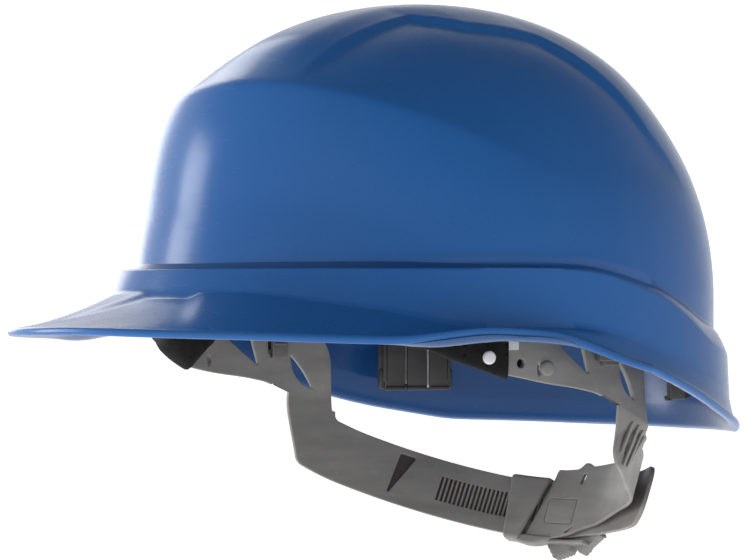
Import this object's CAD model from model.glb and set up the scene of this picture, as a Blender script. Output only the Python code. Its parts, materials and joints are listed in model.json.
import json
import math

import bmesh
import bpy
import numpy as np
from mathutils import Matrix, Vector


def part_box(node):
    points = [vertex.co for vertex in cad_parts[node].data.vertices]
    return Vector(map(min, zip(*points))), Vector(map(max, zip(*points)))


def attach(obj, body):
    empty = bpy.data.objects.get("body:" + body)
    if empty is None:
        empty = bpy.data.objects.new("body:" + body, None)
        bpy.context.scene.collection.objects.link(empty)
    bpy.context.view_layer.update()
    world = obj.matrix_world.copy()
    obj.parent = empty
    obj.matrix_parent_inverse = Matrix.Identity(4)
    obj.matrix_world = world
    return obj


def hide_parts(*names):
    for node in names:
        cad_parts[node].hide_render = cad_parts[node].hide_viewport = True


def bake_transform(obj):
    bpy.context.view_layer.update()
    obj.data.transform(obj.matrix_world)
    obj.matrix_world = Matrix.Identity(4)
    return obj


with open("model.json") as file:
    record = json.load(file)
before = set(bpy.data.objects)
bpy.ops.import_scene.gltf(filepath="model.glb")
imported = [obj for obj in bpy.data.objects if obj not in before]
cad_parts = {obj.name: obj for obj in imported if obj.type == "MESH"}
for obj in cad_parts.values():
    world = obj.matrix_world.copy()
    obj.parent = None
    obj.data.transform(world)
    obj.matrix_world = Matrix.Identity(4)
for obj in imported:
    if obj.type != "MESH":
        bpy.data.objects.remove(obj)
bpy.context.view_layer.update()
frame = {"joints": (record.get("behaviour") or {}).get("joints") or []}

# Shapes are worked out in millimetres, wearer's left +X, front -Y, and written in metres.
MM = 0.001


def corners_mm(node):
    """Lowest and highest corner of a CAD node in millimetres."""
    low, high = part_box(node)
    return np.array(low) / MM, np.array(high) / MM


SHELL_LOW, SHELL_HIGH = corners_mm("shell")
BAND_LOW, BAND_HIGH = corners_mm("headband")
JOINTS = {joint["name"]: joint for joint in frame["joints"]}

# Dome of the shell
RIM_HALF_WIDTH = SHELL_HIGH[0]
PEAK_TIP_Y = SHELL_LOW[1]
SKIRT_REAR_Y = SHELL_HIGH[1]
RIM_LOW_Z = SHELL_LOW[2]
CREST_RISE = 2.5
DOME_TOP_Z = SHELL_HIGH[2] - CREST_RISE
DOME_BASE_Z = 24.0
DOME_HEIGHT = DOME_TOP_Z - DOME_BASE_Z
DOME_Y = 6.0
DOME_HALF_WIDTH = RIM_HALF_WIDTH - 10.0
DOME_HALF_LENGTH = SKIRT_REAR_Y - DOME_Y - 9.0
DOME_POWER = 2.15
WALL = 2.8

# Headband and nape arms
PLATE = 1.6
BAND_RADIUS = BAND_HIGH[0] - PLATE / 2
BAND_NOSE_Y = -25.0
BAND_NOSE_LENGTH = BAND_NOSE_Y - BAND_LOW[1] - PLATE / 2
NAPE_CENTRE = np.array(JOINTS["strap_adjust"]["pos_m"]) / MM
NAPE_AXIS = np.array(JOINTS["strap_adjust"]["axis"], float)
NAPE_AXIS /= np.linalg.norm(NAPE_AXIS)
NAPE_X = np.array((1.0, 0, 0)) - NAPE_AXIS[0] * NAPE_AXIS
NAPE_X /= np.linalg.norm(NAPE_X)
NAPE_Y = np.cross(NAPE_AXIS, NAPE_X)
TILT = math.atan2(NAPE_AXIS[1], NAPE_AXIS[2])
ARM_INSET = 2.2
ARM_TURN_IN = 3.6
TAIL_RISE = 4.5
BUCKLE_TURN = math.radians(180 - 97)
STRAP_HALF_HEIGHT = 11.5


# ---------------------------------------------------------------- helpers
def smoothstep(low, high, value):
    share = np.clip((np.asarray(value, float) - low) / (high - low), 0, 1)
    return share * share * (3 - 2 * share)


def eased(points, angle, spread=3.0):
    """Values at angles from the front (0 to 180), straight between the points and then blurred."""
    knots, values = zip(*points)
    offsets = np.linspace(-2, 2, 9) * spread
    weights = np.exp(-0.5 * (offsets / spread) ** 2)
    turned = np.abs(angle[:, None] + offsets)
    turned = np.where(turned > 180, 360 - turned, turned)
    return (np.interp(turned, knots, values) * weights).sum(1) / weights.sum()


def new_object(name, mesh, material):
    piece = bpy.data.objects.new(name, mesh)
    bpy.context.scene.collection.objects.link(piece)
    mesh.materials.clear()
    mesh.materials.append(material)
    return piece


def finish_mesh(mesh, sharp_degrees=40):
    mesh.polygons.foreach_set("use_smooth", [True] * len(mesh.polygons))
    mesh.set_sharp_from_angle(angle=math.radians(sharp_degrees))
    mesh.update()


def mesh_from(name, points_mm, faces):
    mesh = bpy.data.meshes.new(name)
    mesh.from_pydata((np.asarray(points_mm, float) * MM).tolist(), [], faces)
    work = bmesh.new()
    work.from_mesh(mesh)
    bmesh.ops.recalc_face_normals(work, faces=work.faces)
    work.to_mesh(mesh)
    work.free()
    return mesh


def grid_faces(rows, columns, wrap_columns=True, wrap_rows=False):
    """Quads between neighbours of a grid stored row by row."""
    faces = []
    for row in range(rows if wrap_rows else rows - 1):
        below = (row + 1) % rows
        for column in range(columns if wrap_columns else columns - 1):
            right = (column + 1) % columns
            faces.append(
                (
                    row * columns + column,
                    row * columns + right,
                    below * columns + right,
                    below * columns + column,
                )
            )
    return faces


def smooth_path(points, step=1.5):
    """Points every step or so along a Catmull-Rom curve through the given points."""
    points = np.asarray(points, float)
    padded = np.vstack([2 * points[0] - points[1], points, 2 * points[-1] - points[-2]])
    made = []
    for before, start, end, after in zip(padded, padded[1:], padded[2:], padded[3:]):
        count = max(2, int(np.linalg.norm(end - start) / step))
        for share in np.linspace(0, 1, count, endpoint=False):
            made.append(
                0.5
                * (
                    2 * start
                    + (end - before) * share
                    + (2 * before - 5 * start + 4 * end - after) * share**2
                    + (3 * start - before - 3 * end + after) * share**3
                )
            )
    made.append(points[-1])
    return np.array(made)


def rounded(corners, steps=6):
    """Closed outline whose corners (x, y, radius) are turned into arcs."""
    made = []
    count = len(corners)
    for index, (x, y, radius) in enumerate(corners):
        here = np.array((x, y), float)
        before = np.array(corners[index - 1][:2], float)
        after = np.array(corners[(index + 1) % count][:2], float)
        if radius == 0:
            made.append(here)
            continue
        reach = min(radius, 0.45 * np.linalg.norm(before - here), 0.45 * np.linalg.norm(after - here))
        start = here + (before - here) / np.linalg.norm(before - here) * reach
        end = here + (after - here) / np.linalg.norm(after - here) * reach
        for share in np.linspace(0, 1, steps):
            made.append((1 - share) ** 2 * start + 2 * share * (1 - share) * here + share**2 * end)
    return made


def flat_plate(outline, holes, thickness, bevel, slice_step, cuts):
    """Rounded flat plate as a bmesh in millimetres, sliced across X so that it can be bent."""
    curve = bpy.data.curves.new("plate_outline", "CURVE")
    curve.dimensions = "2D"
    curve.fill_mode = "BOTH"
    curve.extrude = thickness / 2 - bevel
    curve.bevel_depth = bevel
    curve.bevel_resolution = 2
    curve.offset = -bevel
    for loop in [outline, *holes]:
        spline = curve.splines.new("POLY")
        spline.points.add(len(loop) - 1)
        for point, (x, y) in zip(spline.points, loop):
            point.co = (x, y, 0, 1)
        spline.use_cyclic_u = True
    holder = bpy.data.objects.new("plate_outline", curve)
    bpy.context.scene.collection.objects.link(holder)
    bpy.context.view_layer.update()
    mesh = bpy.data.meshes.new_from_object(holder.evaluated_get(bpy.context.evaluated_depsgraph_get()))
    bpy.data.objects.remove(holder)
    bpy.data.curves.remove(curve)
    work = bmesh.new()
    work.from_mesh(mesh)
    bpy.data.meshes.remove(mesh)
    bmesh.ops.remove_doubles(work, verts=work.verts, dist=0.01)
    low = min(v.co.x for v in work.verts)
    high = max(v.co.x for v in work.verts)
    for x in np.arange(low + slice_step, high, slice_step):
        geometry = work.verts[:] + work.edges[:] + work.faces[:]
        bmesh.ops.bisect_plane(work, geom=geometry, plane_co=(x, 0, 0), plane_no=(1, 0, 0))
    for place, normal, from_x, to_x in cuts:
        geometry = [vertex for vertex in work.verts if from_x < vertex.co.x < to_x]
        kept = set(geometry)
        geometry += [edge for edge in work.edges if kept.issuperset(edge.verts)]
        geometry += [face for face in work.faces if kept.issuperset(face.verts)]
        bmesh.ops.bisect_plane(work, geom=geometry, plane_co=place, plane_no=normal, clear_outer=True)
    return work


def bent_plate(name, outline, holes, bend, material, bevel=0.35, slice_step=3.0, cuts=(), thickness=PLATE):
    """Plate whose outline is given flat (along, up), bent into place by bend(along, up, out)."""
    work = flat_plate(outline, holes, thickness, bevel, slice_step, cuts)
    flat = np.array([v.co for v in work.verts], float)
    placed = bend(flat[:, 0], flat[:, 1], flat[:, 2])
    for vertex, point in zip(work.verts, placed):
        vertex.co = point * MM
    bmesh.ops.recalc_face_normals(work, faces=work.faces)
    mesh = bpy.data.meshes.new(name)
    work.to_mesh(mesh)
    work.free()
    finish_mesh(mesh, 50)
    return new_object(name, mesh, material)


def mirrored(bend):
    """The same bend on the wearer's other side."""

    def other(along, up, out):
        return bend(along, up, out) * np.array((-1, 1, 1))

    return other


def joined(name, pieces):
    """Several meshes as one piece."""
    work = bmesh.new()
    material = pieces[0].data.materials[0]
    for piece in pieces:
        work.from_mesh(piece.data)
        bpy.data.objects.remove(piece)
    bmesh.ops.remove_doubles(work, verts=work.verts, dist=0.00002)
    mesh = bpy.data.meshes.new(name)
    work.to_mesh(mesh)
    work.free()
    finish_mesh(mesh, 50)
    return new_object(name, mesh, material)


def ribbon(name, path, side, width, thickness, material):
    """Woven tape along a path in millimetres, lying across side, with its weave coordinates."""
    path = np.asarray(path, float)
    side = np.asarray(side, float) / np.linalg.norm(side)
    tangent = np.gradient(path, axis=0)
    tangent /= np.linalg.norm(tangent, axis=1)[:, None]
    normal = np.cross(tangent, side)
    normal /= np.linalg.norm(normal, axis=1)[:, None]
    half = width / 2
    edge = thickness / 2
    profile = [(share * (half - edge), edge) for share in np.linspace(-1, 1, 9)]
    profile += [(half - 0.3 * edge, 0.7 * edge), (half, 0.0), (half - 0.3 * edge, -0.7 * edge)]
    profile += [(share * (half - edge), -edge) for share in np.linspace(1, -1, 9)]
    profile += [(-half + 0.3 * edge, -0.7 * edge), (-half, 0.0), (-half + 0.3 * edge, 0.7 * edge)]
    profile = np.array(profile)
    points = (
        path[:, None, :]
        + side[None, None, :] * profile[None, :, 0:1]
        + normal[:, None, :] * profile[None, :, 1:2]
    )
    rows, columns = points.shape[:2]
    faces = grid_faces(rows, columns)
    faces.append(tuple(range(columns))[::-1])
    faces.append(tuple((rows - 1) * columns + column for column in range(columns)))
    mesh = mesh_from(name, points.reshape(-1, 3), faces)
    along = np.concatenate([[0], np.cumsum(np.linalg.norm(np.diff(path, axis=0), axis=1))])
    layer = mesh.uv_layers.new(name="weave")
    for loop in mesh.loops:
        row, column = divmod(loop.vertex_index, columns)
        layer.data[loop.index].uv = (along[row] * MM, profile[column][0] * MM)
    finish_mesh(mesh, 60)
    return new_object(name, mesh, material)


def stitches(name, points, directions, material, length=2.6, thread=0.32):
    """Row of short thread bumps at points, each lying along its direction."""
    faces = []
    made = []
    around = 6
    for point, direction in zip(points, directions):
        along = np.asarray(direction, float) / np.linalg.norm(direction)
        helper = np.array((0.3, 0.5, 0.8))
        first = np.cross(along, helper)
        first /= np.linalg.norm(first)
        second = np.cross(along, first)
        base = len(made)
        for share, size in ((-0.5, 0.35), (-0.4, 0.85), (0, 1.1), (0.4, 0.85), (0.5, 0.35)):
            for step in range(around):
                turn = 2 * math.pi * step / around
                made.append(
                    point
                    + along * length * share
                    + thread * size * (math.cos(turn) * first + math.sin(turn) * second)
                )
        ring = grid_faces(5, around)
        faces += [tuple(base + index for index in face) for face in ring]
        faces.append(tuple(base + step for step in range(around))[::-1])
        faces.append(tuple(base + 4 * around + step for step in range(around)))
    mesh = mesh_from(name, made, faces)
    finish_mesh(mesh, 60)
    return new_object(name, mesh, material)


# ---------------------------------------------------------------- materials
class Shader:
    """A material being wired up: add() makes a node and joins or sets its inputs."""

    def __init__(self, name):
        self.material = bpy.data.materials.new(name)
        self.material.use_nodes = True
        self.tree = self.material.node_tree
        self.tree.nodes.clear()
        self.surface = self.tree.nodes.new("ShaderNodeBsdfPrincipled")
        output = self.tree.nodes.new("ShaderNodeOutputMaterial")
        self.tree.links.new(self.surface.outputs[0], output.inputs[0])

    def feed(self, node, inputs):
        for key, value in inputs.items():
            socket = node.inputs[key]
            if isinstance(value, bpy.types.NodeSocket):
                self.tree.links.new(value, socket)
            else:
                socket.default_value = value

    def add(self, kind, inputs=None, output=0, **settings):
        node = self.tree.nodes.new("ShaderNode" + kind)
        for key, value in settings.items():
            setattr(node, key, value)
        self.feed(node, inputs or {})
        return node.outputs[output]

    def place(self):
        return self.add("TexCoord", output="Object")

    def noise(self, scale, detail=3.0, vector=None, roughness=0.5):
        inputs = {"Scale": scale, "Detail": detail, "Roughness": roughness}
        inputs["Vector"] = vector or self.place()
        return self.add("TexNoise", inputs, output="Fac")

    def spread(self, value, low, high, new_low=0.0, new_high=1.0):
        return self.add(
            "MapRange",
            {"Value": value, "From Min": low, "From Max": high, "To Min": new_low, "To Max": new_high},
        )

    def math(self, operation, first, second=0.0):
        return self.add("Math", {0: first, 1: second}, operation=operation)

    def mix(self, share, first, second):
        node = self.tree.nodes.new("ShaderNodeMix")
        node.data_type = "RGBA"
        for key, value in ((0, share), (6, first), (7, second)):
            if isinstance(value, bpy.types.NodeSocket):
                self.tree.links.new(value, node.inputs[key])
            else:
                node.inputs[key].default_value = value
        return node.outputs[2]

    def bump(self, height, strength, distance, below=None):
        inputs = {"Height": height, "Strength": strength, "Distance": distance}
        if below is not None:
            inputs["Normal"] = below
        return self.add("Bump", inputs)


def colour(red, green, blue):
    return (red, green, blue, 1.0)


def shell_plastic():
    """Glossy blue polypropylene: faint moulding ripple, fine scratches and a paler worn rim."""
    shader = Shader("shell_blue_plastic")
    cloud = shader.noise(14.0, 4.0)
    speck = shader.noise(900.0, 2.0)
    base = shader.mix(
        shader.spread(cloud, 0.3, 0.7), colour(0.018, 0.122, 0.39), colour(0.022, 0.137, 0.43)
    )
    base = shader.mix(shader.spread(speck, 0.6, 0.8, 0.0, 0.06), base, colour(0.035, 0.17, 0.5))
    edge = shader.add("Attribute", output="Fac", attribute_name="rim_edge")
    base = shader.mix(shader.math("MULTIPLY", edge, 0.18), base, colour(0.05, 0.2, 0.52))
    inside = shader.add("Attribute", output="Fac", attribute_name="inside")
    base = shader.mix(shader.math("MULTIPLY", inside, 0.6), base, colour(0.006, 0.03, 0.1))
    stretched = shader.add(
        "Mapping", {"Vector": shader.place(), "Scale": (60.0, 900.0, 900.0), "Rotation": (0.4, 0.7, 0.3)}
    )
    scratch = shader.spread(shader.noise(1.0, 2.0, stretched), 0.66, 0.72)
    roughness = shader.spread(shader.noise(45.0, 5.0), 0.3, 0.7, 0.2, 0.27)
    roughness = shader.math("ADD", roughness, shader.math("MULTIPLY", scratch, 0.12))
    normal = shader.bump(shader.noise(420.0, 2.0), 0.08, 0.0003)
    normal = shader.bump(scratch, 0.05, 0.0001, normal)
    shader.feed(
        shader.surface,
        {
            "Base Color": base,
            "Roughness": roughness,
            "Normal": normal,
            "Coat Weight": 0.05,
            "Coat Roughness": 0.12,
            "Specular IOR Level": 0.36,
            "IOR": 1.42,
        },
    )
    return shader.material


def harness_plastic(name="harness_grey_plastic", dark=(0.19, 0.182, 0.17), pale=(0.26, 0.25, 0.236)):
    """Satin polyethylene: flow streaks, fine grain and paler rubbed spots."""
    shader = Shader(name)
    streaks = shader.add("Mapping", {"Vector": shader.place(), "Scale": (30.0, 30.0, 160.0)})
    flow = shader.noise(1.0, 5.0, streaks)
    base = shader.mix(shader.spread(flow, 0.3, 0.7), colour(*dark), colour(*pale))
    rubbed = shader.spread(shader.noise(260.0, 4.0), 0.6, 0.78, 0.0, 0.35)
    base = shader.mix(rubbed, base, colour(*(1.35 * value for value in pale)))
    roughness = shader.spread(shader.noise(120.0, 3.0), 0.3, 0.7, 0.36, 0.5)
    normal = shader.bump(shader.noise(2600.0, 2.0), 0.12, 0.0001)
    normal = shader.bump(shader.noise(160.0, 2.0), 0.08, 0.0004, normal)
    shader.feed(
        shader.surface,
        {
            "Base Color": base,
            "Roughness": roughness,
            "Normal": normal,
            "Subsurface Weight": 0.05,
            "Subsurface Scale": 0.002,
        },
    )
    return shader.material


def sweatband_leather():
    """Black perforated synthetic leather with a pebbled grain."""
    shader = Shader("sweatband_black_leather")
    grain = shader.add("TexVoronoi", {"Vector": shader.place(), "Scale": 1500.0}, output="Distance")
    wrinkle = shader.noise(220.0, 4.0)
    holes = shader.add("TexVoronoi", {"Vector": shader.place(), "Scale": 300.0, "Randomness": 0.15})
    hole = shader.spread(holes, 0.16, 0.24, 1.0, 0.0)
    shade = shader.spread(wrinkle, 0.3, 0.7)
    base = shader.mix(shade, colour(0.006, 0.006, 0.006), colour(0.014, 0.013, 0.013))
    base = shader.mix(hole, base, colour(0.001, 0.001, 0.001))
    height = shader.math("SUBTRACT", shader.math("MULTIPLY", grain, 0.4), hole)
    normal = shader.bump(height, 0.5, 0.0003)
    normal = shader.bump(wrinkle, 0.3, 0.0008, normal)
    shader.feed(shader.surface, {"Base Color": base, "Roughness": 0.75, "Normal": normal, "IOR": 1.25})
    return shader.material


def woven_tape():
    """White polyester webbing: warp and weft from the tape's own coordinates, with ribbed edges."""
    shader = Shader("webbing_white_weave")
    split = shader.tree.nodes.new("ShaderNodeSeparateXYZ")
    shader.tree.links.new(shader.add("UVMap", uv_map="weave"), split.inputs[0])
    along = shader.math("SINE", shader.math("MULTIPLY", split.outputs[0], 5200.0))
    across = shader.math("SINE", shader.math("MULTIPLY", split.outputs[1], 6900.0))
    weave = shader.math("MULTIPLY", along, across)
    height = shader.spread(weave, -1.0, 1.0)
    fuzz = shader.noise(3500.0, 2.0)
    soil = shader.noise(40.0, 4.0)
    base = shader.mix(shader.spread(soil, 0.35, 0.75), colour(0.78, 0.8, 0.83), colour(0.6, 0.61, 0.63))
    base = shader.mix(shader.spread(height, 0.0, 0.5, 0.35, 0.0), base, colour(0.4, 0.42, 0.45))
    normal = shader.bump(shader.math("ADD", height, shader.math("MULTIPLY", fuzz, 0.4)), 0.7, 0.0003)
    shader.feed(shader.surface, {"Base Color": base, "Roughness": 0.8, "Normal": normal, "Sheen Weight": 0.3})
    return shader.material


def thread():
    """Twisted white sewing thread."""
    shader = Shader("sewing_thread")
    twist = shader.noise(2500.0, 2.0)
    base = shader.mix(twist, colour(0.5, 0.5, 0.5), colour(0.8, 0.8, 0.79))
    shader.feed(
        shader.surface,
        {"Base Color": base, "Roughness": 0.7, "Normal": shader.bump(twist, 0.5, 0.0002)},
    )
    return shader.material


def studio_floor():
    """Pale seamless paper."""
    shader = Shader("pale_floor")
    grain = shader.noise(60.0, 3.0)
    base = shader.mix(grain, colour(0.9, 0.9, 0.9), colour(0.93, 0.93, 0.93))
    shader.feed(
        shader.surface,
        {
            "Base Color": base,
            "Roughness": 0.9,
            "Emission Color": colour(1, 1, 1),
            "Emission Strength": 0.72,
        },
    )
    return shader.material


SHELL_BLUE = shell_plastic()
HARNESS_GREY = harness_plastic()
CLIP_GREY = harness_plastic("clip_grey_plastic", (0.11, 0.105, 0.1), (0.15, 0.145, 0.138))
STUD_WHITE = harness_plastic("stud_white_plastic", (0.75, 0.75, 0.75), (0.86, 0.86, 0.86))
KEY_DARK = harness_plastic("key_dark_plastic", (0.035, 0.033, 0.032), (0.055, 0.052, 0.05))
SWEATBAND_BLACK = sweatband_leather()
WEBBING_WHITE = woven_tape()
THREAD_WHITE = thread()

# ---------------------------------------------------------------- shell
COLUMNS = 360
DOME_ROWS = 84
LEDGE_SHARES = (0.12, 0.35, 0.65, 0.88, 1.0)
LEDGE_CURVE = 1.6
BELT_EDGE_SHARES = (0.04, 0.1)
BELT_FACE_SHARE = 0.2
BELT_ROWS = 7
CROWN_SHARE = 0.012
FLANGE_ROWS = 22
RIM_ARC_STEPS = 5

# Heights and steps round the shell, as (degrees from the front, value)
LEDGE_TOP = ((0, 36), (81, 36), (96, 30), (115, 17), (139, 12), (180, 10))
LEDGE_DROP = ((0, 0.6), (75, 0.6), (96, 4), (115, 8), (139, 9.5), (180, 9.5))
LEDGE_OUT = ((0, 3.5), (20, 4), (44, 5), (62, 4.2), (85, 3.5), (115, 4.5), (139, 5.3), (180, 5.3))
WALL_FOOT = ((0, 28), (20, 27.5), (44, 21), (52, 16.5), (58, 15.5), (72, 16), (82, 14.5), (98, 5),
             (115, -4), (139, -15), (180, -16))
FOOT_OUT = ((0, 6.5), (20, 7.5), (44, 8.5), (66, 5.2), (90, 4.5), (139, 6.0), (180, 6.0))
RIM_LOW = ((0, 13.7), (30, 12.5), (54, 10.8), (66, 13.9), (77, 12), (88, 1.5), (100, -7), (112, -15),
           (120, -19), (136, -24.7), (167, RIM_LOW_Z), (180, RIM_LOW_Z))
RIM_POWER = 2.35
FLANGE_CURVE = 1.5

# Front panel: it leans back from the ledge up to a crease across the forehead
FRONT_BULGE = 7.5
FRONT_LEAN = 1.5
CREASE_Z = 94.0
CREASE_FALL = 0.0048
CREASE_ROUNDING = 0.02
PANEL_LOW = 38.0
PANEL_TOP_Z = 132.0

# Edge of the crest panel, as (Y, half width)
CREST_EDGE = ((-30, 25), (-16, 41), (11, 50), (23, 63), (38, 78), (60, 85))
SIDE_RECESS = 1.3
GROOVE = 0.9
GUTTER = 1.8

# Triangular facet on the peak: depth, where it starts behind, and how it widens to the front
PEAK_FACET = 1.6
FACET_REAR_Y = -112.0
FACET_APEX_Y = -104.0
FACET_SPREAD = 0.95


def dome_offset(x, y, z, from_front):
    """How far the skin stands out from the plain dome at a point."""
    crease = CREASE_Z - CREASE_FALL * from_front**2
    rising = (z - crease + PANEL_LOW) / PANEL_LOW
    falling = (PANEL_TOP_Z - z) / (PANEL_TOP_Z - crease)
    gap = rising - falling
    tent = 0.5 * (rising + falling - np.sqrt(gap**2 + CREASE_ROUNDING**2))
    bulge = FRONT_BULGE * np.clip(tent, 0, 1) ** 1.7 * (1 - smoothstep(35, 85, from_front))
    lean = FRONT_LEAN * (1 - smoothstep(-PANEL_LOW, 0, z - crease))
    bulge -= lean * (1 - smoothstep(44, 62, from_front))

    ys, widths = zip(*CREST_EDGE)
    edge = np.interp(y, ys, widths)
    past = np.clip(np.abs(x) - edge, 0, None)
    recess = SIDE_RECESS * (1 - np.exp(-past / 1.6)) * np.exp(-past / 45)
    recess *= smoothstep(-84, -66, y) * (1 - smoothstep(30, 65, y)) * smoothstep(60, 76, z)

    level = np.abs(x) / edge
    crest = CREST_RISE * (1 - 0.6 * smoothstep(0.4, 1.0, level) - 0.4 * smoothstep(0.95, 1.03, level))
    crest *= smoothstep(-85, -60, y) * (1 - smoothstep(40, 100, y)) * smoothstep(80, 110, z)
    return bulge - recess + crest


def shell_outer():
    """Rows of points on the shell's outside, from the crown to the rim's upper edge."""
    angle = np.linspace(-180, 180, COLUMNS, endpoint=False)
    from_front = np.abs(angle)
    turn = np.radians(angle)
    out_x = np.sin(turn) / DOME_HALF_WIDTH
    out_y = -np.cos(turn) / DOME_HALF_LENGTH
    length = np.hypot(out_x, out_y)
    out_x, out_y = out_x / length, out_y / length

    top = eased(LEDGE_TOP, from_front)
    drop = eased(LEDGE_DROP, from_front)
    proud = eased(LEDGE_OUT, from_front)
    foot_z = eased(WALL_FOOT, from_front)
    foot_out = eased(FOOT_OUT, from_front)
    rim_low = eased(RIM_LOW, from_front, 2.5)

    level = (top - DOME_BASE_Z) / DOME_HEIGHT
    last = np.sign(level) * np.arcsin(np.abs(level) ** (DOME_POWER / 2))
    rows = []
    for share in np.linspace(CROWN_SHARE, 1, DOME_ROWS):
        rise = math.pi / 2 - share * (math.pi / 2 - last)
        height = np.sign(rise) * np.abs(np.sin(rise)) ** (2 / DOME_POWER)
        reach = np.where(rise > 0, np.cos(np.clip(rise, 0, None)) ** (2 / DOME_POWER), 1.0)
        x = DOME_HALF_WIDTH * reach * np.sin(turn)
        y = DOME_Y - DOME_HALF_LENGTH * reach * np.cos(turn)
        z = DOME_BASE_Z + DOME_HEIGHT * height
        normal = np.stack(
            [
                x / DOME_HALF_WIDTH**2,
                (y - DOME_Y) / DOME_HALF_LENGTH**2,
                np.clip(z - DOME_BASE_Z, 0, None) / DOME_HEIGHT**2,
            ],
            1,
        )
        normal /= np.linalg.norm(normal, axis=1)[:, None]
        rows.append(np.stack([x, y, z], 1) + normal * dome_offset(x, y, z, from_front)[:, None])
    groove = GROOVE * smoothstep(35, 60, from_front) * (1 - smoothstep(92, 97, from_front))
    rows[-1] = rows[-1] - np.stack([out_x, out_y, 0 * out_x], 1) * groove[:, None]
    inner_rows = list(range(0, DOME_ROWS - 2, 2))

    wall_x = DOME_HALF_WIDTH * np.sin(turn)
    wall_y = DOME_Y - DOME_HALF_LENGTH * np.cos(turn)
    start = rows[-1]
    start_out = (start[:, 0] - wall_x) * out_x + (start[:, 1] - wall_y) * out_y
    for share in LEDGE_SHARES:
        out = start_out + (proud - start_out) * share
        z = start[:, 2] - drop * share**LEDGE_CURVE
        rows.append(np.stack([wall_x + out * out_x, wall_y + out * out_y, z], 1))
    ledge_z = rows[-1][:, 2]
    for share in (*BELT_EDGE_SHARES, *np.linspace(BELT_FACE_SHARE, 1, BELT_ROWS)):
        out = proud + (foot_out - proud) * share
        z = ledge_z + (foot_z - ledge_z) * share
        if share >= BELT_FACE_SHARE:
            inner_rows.append(len(rows))
        rows.append(np.stack([wall_x + out * out_x, wall_y + out * out_y, z], 1))

    sine, cosine = np.abs(np.sin(turn)), np.cos(turn)
    front = cosine > 0
    rim_x = np.sign(turn) * np.where(
        front, RIM_HALF_WIDTH * sine ** (2 / RIM_POWER), RIM_HALF_WIDTH * sine
    )
    rim_y = np.where(
        front,
        DOME_Y - (DOME_Y - PEAK_TIP_Y) * np.abs(cosine) ** (2 / RIM_POWER),
        DOME_Y - (SKIRT_REAR_Y - DOME_Y) * cosine,
    )
    foot = rows[-1]
    rim_out = np.stack([rim_x, rim_y], 1) - foot[:, :2]
    rim_out /= np.linalg.norm(rim_out, axis=1)[:, None]
    round_off = WALL / 2
    rim_top = rim_low + WALL
    edge_xy = np.stack([rim_x, rim_y], 1) - rim_out * round_off
    for share in np.linspace(0.03, 1, FLANGE_ROWS):
        plan = foot[:, :2] + (edge_xy - foot[:, :2]) * share
        z = rim_top + (foot[:, 2] - rim_top) * (1 - share) ** FLANGE_CURVE
        facet = 1 - smoothstep(FACET_REAR_Y - 6, FACET_REAR_Y, plan[:, 1])
        spread = np.clip((FACET_APEX_Y - plan[:, 1]) * FACET_SPREAD, 6, 42)
        facet = facet * (1 - smoothstep(-5, 4, np.abs(plan[:, 0]) - spread))
        gutter = GUTTER * smoothstep(48, 58, from_front) * (1 - smoothstep(74, 86, from_front))
        dip = gutter * smoothstep(0.35, 0.7, share) * (1 - smoothstep(0.78, 1.0, share))
        inner_rows.append(len(rows))
        rows.append(np.stack([plan[:, 0], plan[:, 1], z - PEAK_FACET * facet * (1 - share) - dip], 1))
    rim_rows = []
    for step in range(1, RIM_ARC_STEPS + 1):
        bow = math.pi * step / (RIM_ARC_STEPS + 1)
        plan = edge_xy + rim_out * round_off * math.sin(bow)
        z = rim_low + round_off + round_off * math.cos(bow)
        rim_rows.append(np.stack([plan[:, 0], plan[:, 1], z], 1))
    return rows, rim_rows, inner_rows


def grid_normals(rows):
    """Outward normals of the shell's outside."""
    points = np.array(rows)
    down = np.gradient(points, axis=0)
    round_about = np.roll(points, -1, 1) - np.roll(points, 1, 1)
    normal = np.cross(round_about, down)
    normal /= np.linalg.norm(normal, axis=2)[:, :, None] + 1e-9
    centre = np.array((0, DOME_Y, 0))
    outward = np.sign(np.sum(normal * (points - centre), axis=2).mean())
    return normal * outward


def make_shell():
    """Dome, crest panel, belt, peak and nape skirt as one closed moulding."""
    rows, rim_rows, inner_rows = shell_outer()
    normals = grid_normals(rows)
    under = [rows[index] - WALL * normals[index] for index in reversed(inner_rows)]
    under[0] = rim_rows[-1] * 0.35 + (rows[-1] - np.array((0, 0, WALL))) * 0.65
    loops = rows + rim_rows + under
    points = np.array(loops).reshape(-1, 3)
    crown = rows[0].mean(0)
    crown_under = under[-1].mean(0)
    points = np.vstack([points, crown, crown_under])
    faces = grid_faces(len(loops), COLUMNS)
    last = (len(loops) - 1) * COLUMNS
    for column in range(COLUMNS):
        right = (column + 1) % COLUMNS
        faces.append((len(points) - 2, right, column))
        faces.append((len(points) - 1, last + column, last + right))
    mesh = mesh_from("shell_moulding", points, faces)
    edge = np.zeros(len(points), np.float32)
    first = (len(rows) - 1) * COLUMNS
    edge[first : first + (len(rim_rows) + 2) * COLUMNS] = 1.0
    mesh.attributes.new("rim_edge", "FLOAT", "POINT").data.foreach_set("value", edge)
    inside = np.zeros(len(points), np.float32)
    inside[first + (len(rim_rows) + 2) * COLUMNS :] = 1.0
    inside[-2] = 0.0
    mesh.attributes.new("inside", "FLOAT", "POINT").data.foreach_set("value", inside)
    finish_mesh(mesh, 75)
    return new_object("shell_moulding", mesh, SHELL_BLUE)


shell = make_shell()
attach(shell, "shell")
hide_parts("shell")

# ---------------------------------------------------------------- key pockets and keys
KEY_NAMES = ("key_rear_left", "key_rear_right", "key_front_right", "key_front_left")
KEY_RING = (88.0, 107.0)
KEY_WIDTH = 26.0
KEY_THICKNESS = 2.6
POCKET_DEPTH = 14.0
POCKET_WALL = 2.2
POCKET_COVER = 1.6
TONGUE_PITCH = 9.2
TONGUE_HALF_WIDTH = 4.1


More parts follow.
